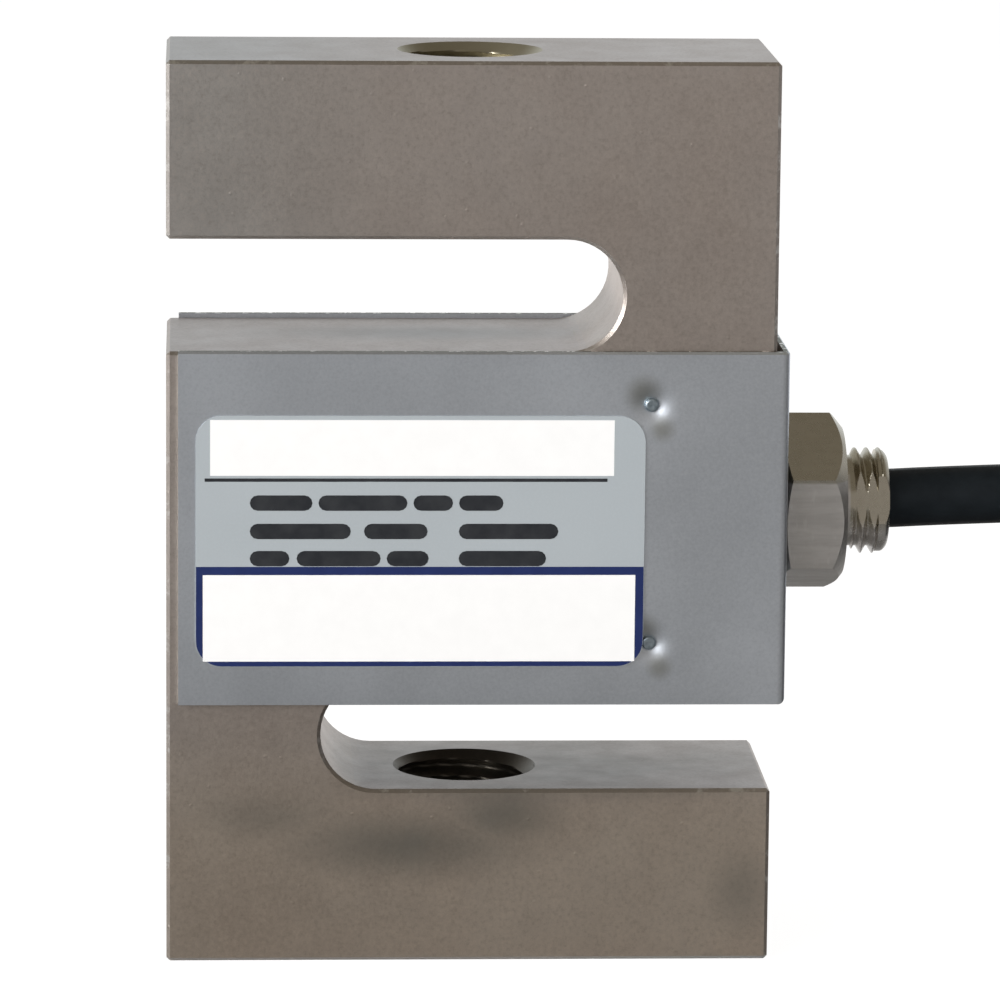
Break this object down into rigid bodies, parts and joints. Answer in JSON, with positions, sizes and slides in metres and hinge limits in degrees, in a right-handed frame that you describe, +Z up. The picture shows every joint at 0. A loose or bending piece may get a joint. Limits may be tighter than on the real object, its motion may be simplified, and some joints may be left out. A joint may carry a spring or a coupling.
{
  "type": "s type load cell",
  "caption": "S shaped steel load cell: a threaded hole in each arm, slots above and below a gauged middle block, wrap-round sheet cover, hex cable gland and coiled lead.",
  "frame": {"origin": "centre of the lower threaded hole, in the body's bottom face", "axes": "+Z up the load axis to the upper threaded hole, +X the way the cable leaves, the rated face looks along -Y"},
  "size_m": [0.1718, 0.0685, 0.0762],
  "materials": {
    "body_nickel": "satin nickel plate over ground steel",
    "cover_sheet": "satin stainless sheet",
    "label_foil": "printed satin foil",
    "gland_plate": "nickel plated brass, satin",
    "pin_steel": "satin",
    "seal_rubber": "matt black",
    "cable_jacket": "satin black flexible jacket",
    "tie_black": "matt black",
    "sleeve_black": "semi-matt heat-shrink",
    "core_red": "coloured insulation",
    "core_green": "coloured insulation",
    "core_white": "coloured insulation",
    "core_black": "coloured insulation",
    "tinned_copper": "bare tinned strands",
    "gauge_foil": "amber film with metal foil grid",
    "board_green": "solder mask",
    "chip_black": "chip resistor",
    "sealant_white": "cured silicone sealant"
  },
  "bodies": {
    "root": {"bridge_board": "board_green", "cable_coil": "cable_jacket", "cable_grommet": "seal_rubber", "cable_lead": "cable_jacket", "coil_tie_left": "tie_black", "coil_tie_right": "tie_black", "cover_pin_front_lower": "pin_steel", "cover_pin_front_upper": "pin_steel", "cover_pin_rear_lower": "pin_steel", "cover_pin_rear_upper": "pin_steel", "end_sleeve": "sleeve_black", "end_wire_black": "core_black", "end_wire_green": "core_green", "end_wire_red": "core_red", "end_wire_white": "core_white", "gauge_lead_left_lower": "tinned_copper", "gauge_lead_left_upper": "tinned_copper", "gauge_lead_right_lower": "tinned_copper", "gauge_lead_right_upper": "tinned_copper", "gland_body": "gland_plate", "gland_seal": "seal_rubber", "inner_core_black": "core_black", "inner_core_green": "core_green", "inner_core_red": "core_red", "inner_core_white": "core_white", "rating_label": "label_foil", "s_body": "body_nickel", "sealant_front": "sealant_white", "sealant_rear": "sealant_white", "shield_drain_wire": "tinned_copper", "span_resistor": "chip_black", "strain_gauge_left_lower": "gauge_foil", "strain_gauge_left_upper": "gauge_foil", "strain_gauge_right_lower": "gauge_foil", "strain_gauge_right_upper": "gauge_foil", "wrap_cover": "cover_sheet", "zero_resistor": "chip_black"}
  },
  "joints": []
}
